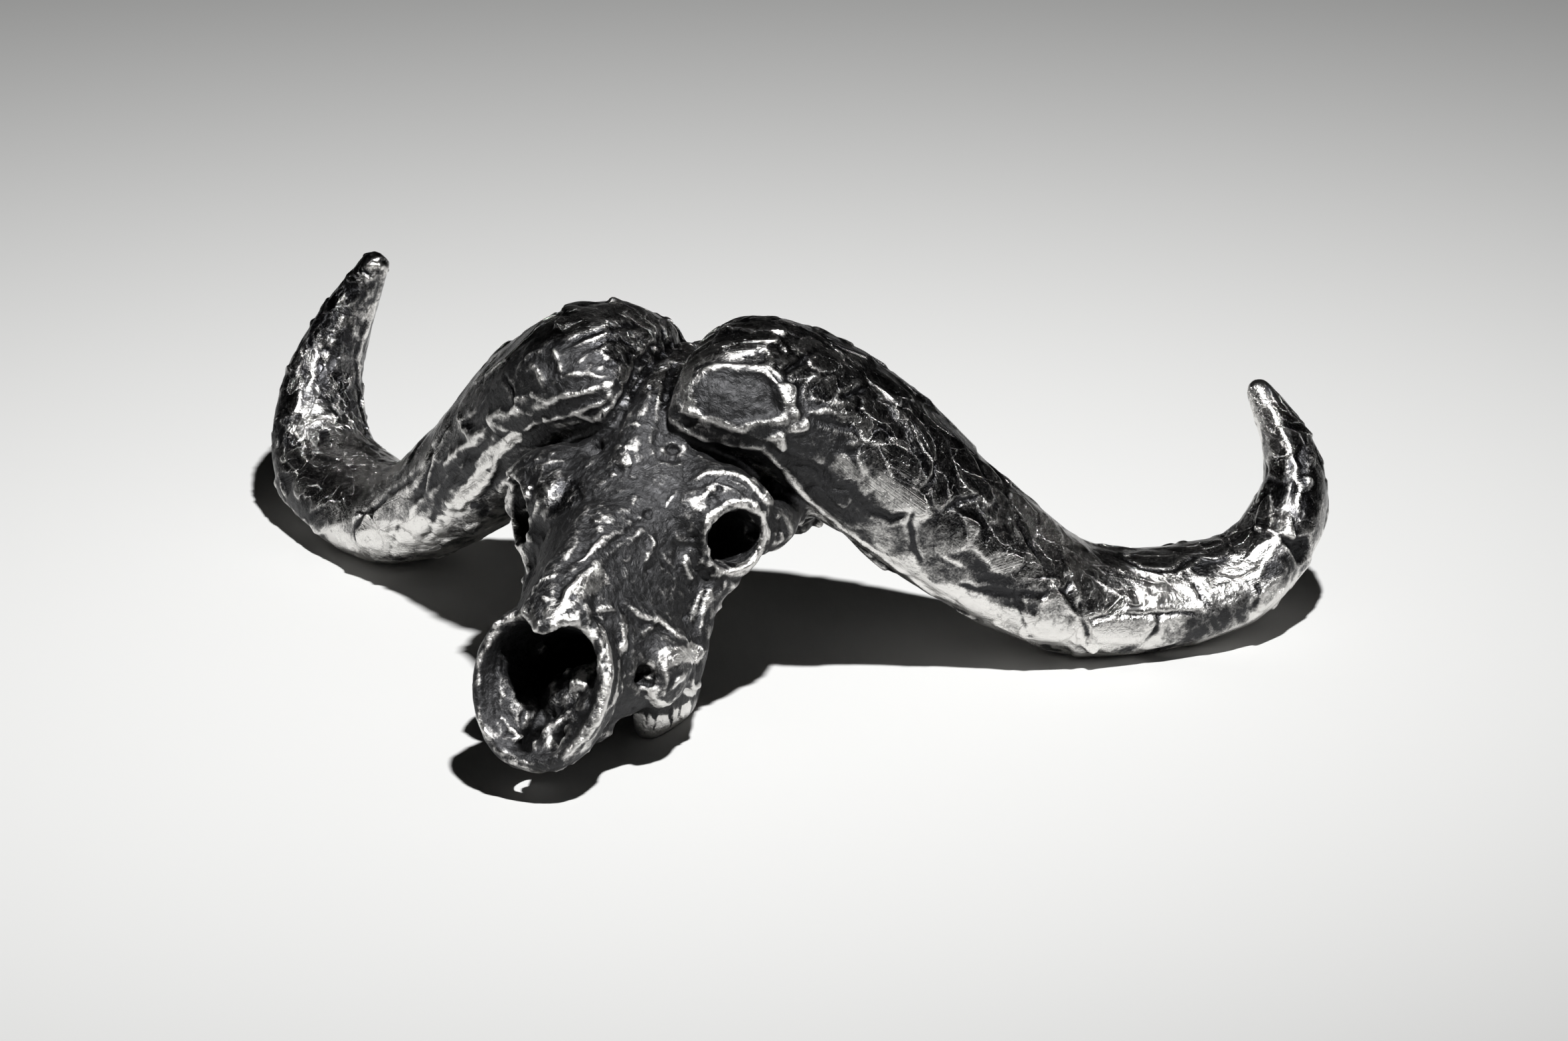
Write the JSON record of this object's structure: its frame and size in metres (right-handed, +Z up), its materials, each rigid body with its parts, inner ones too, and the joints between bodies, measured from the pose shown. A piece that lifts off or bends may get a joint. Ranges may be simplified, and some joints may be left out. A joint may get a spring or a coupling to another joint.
{
  "type": "animal skull sculpture",
  "caption": "Desk sculpture of a cape buffalo skull with wide upswept horns, cast whole in dark patinated metal; it rests on its cheek teeth and the lowest bends of its horns.",
  "frame": {"origin": "bottom centre of the bounding box, on the table top", "axes": "+X across the horns towards the animal's left, which is the right side of the picture; -Y towards the snout; +Z up"},
  "size_m": [0.2976, 0.1962, 0.0905],
  "materials": {
    "skull": "satin"
  },
  "bodies": {
    "root": {"skull": "skull"}
  },
  "joints": []
}
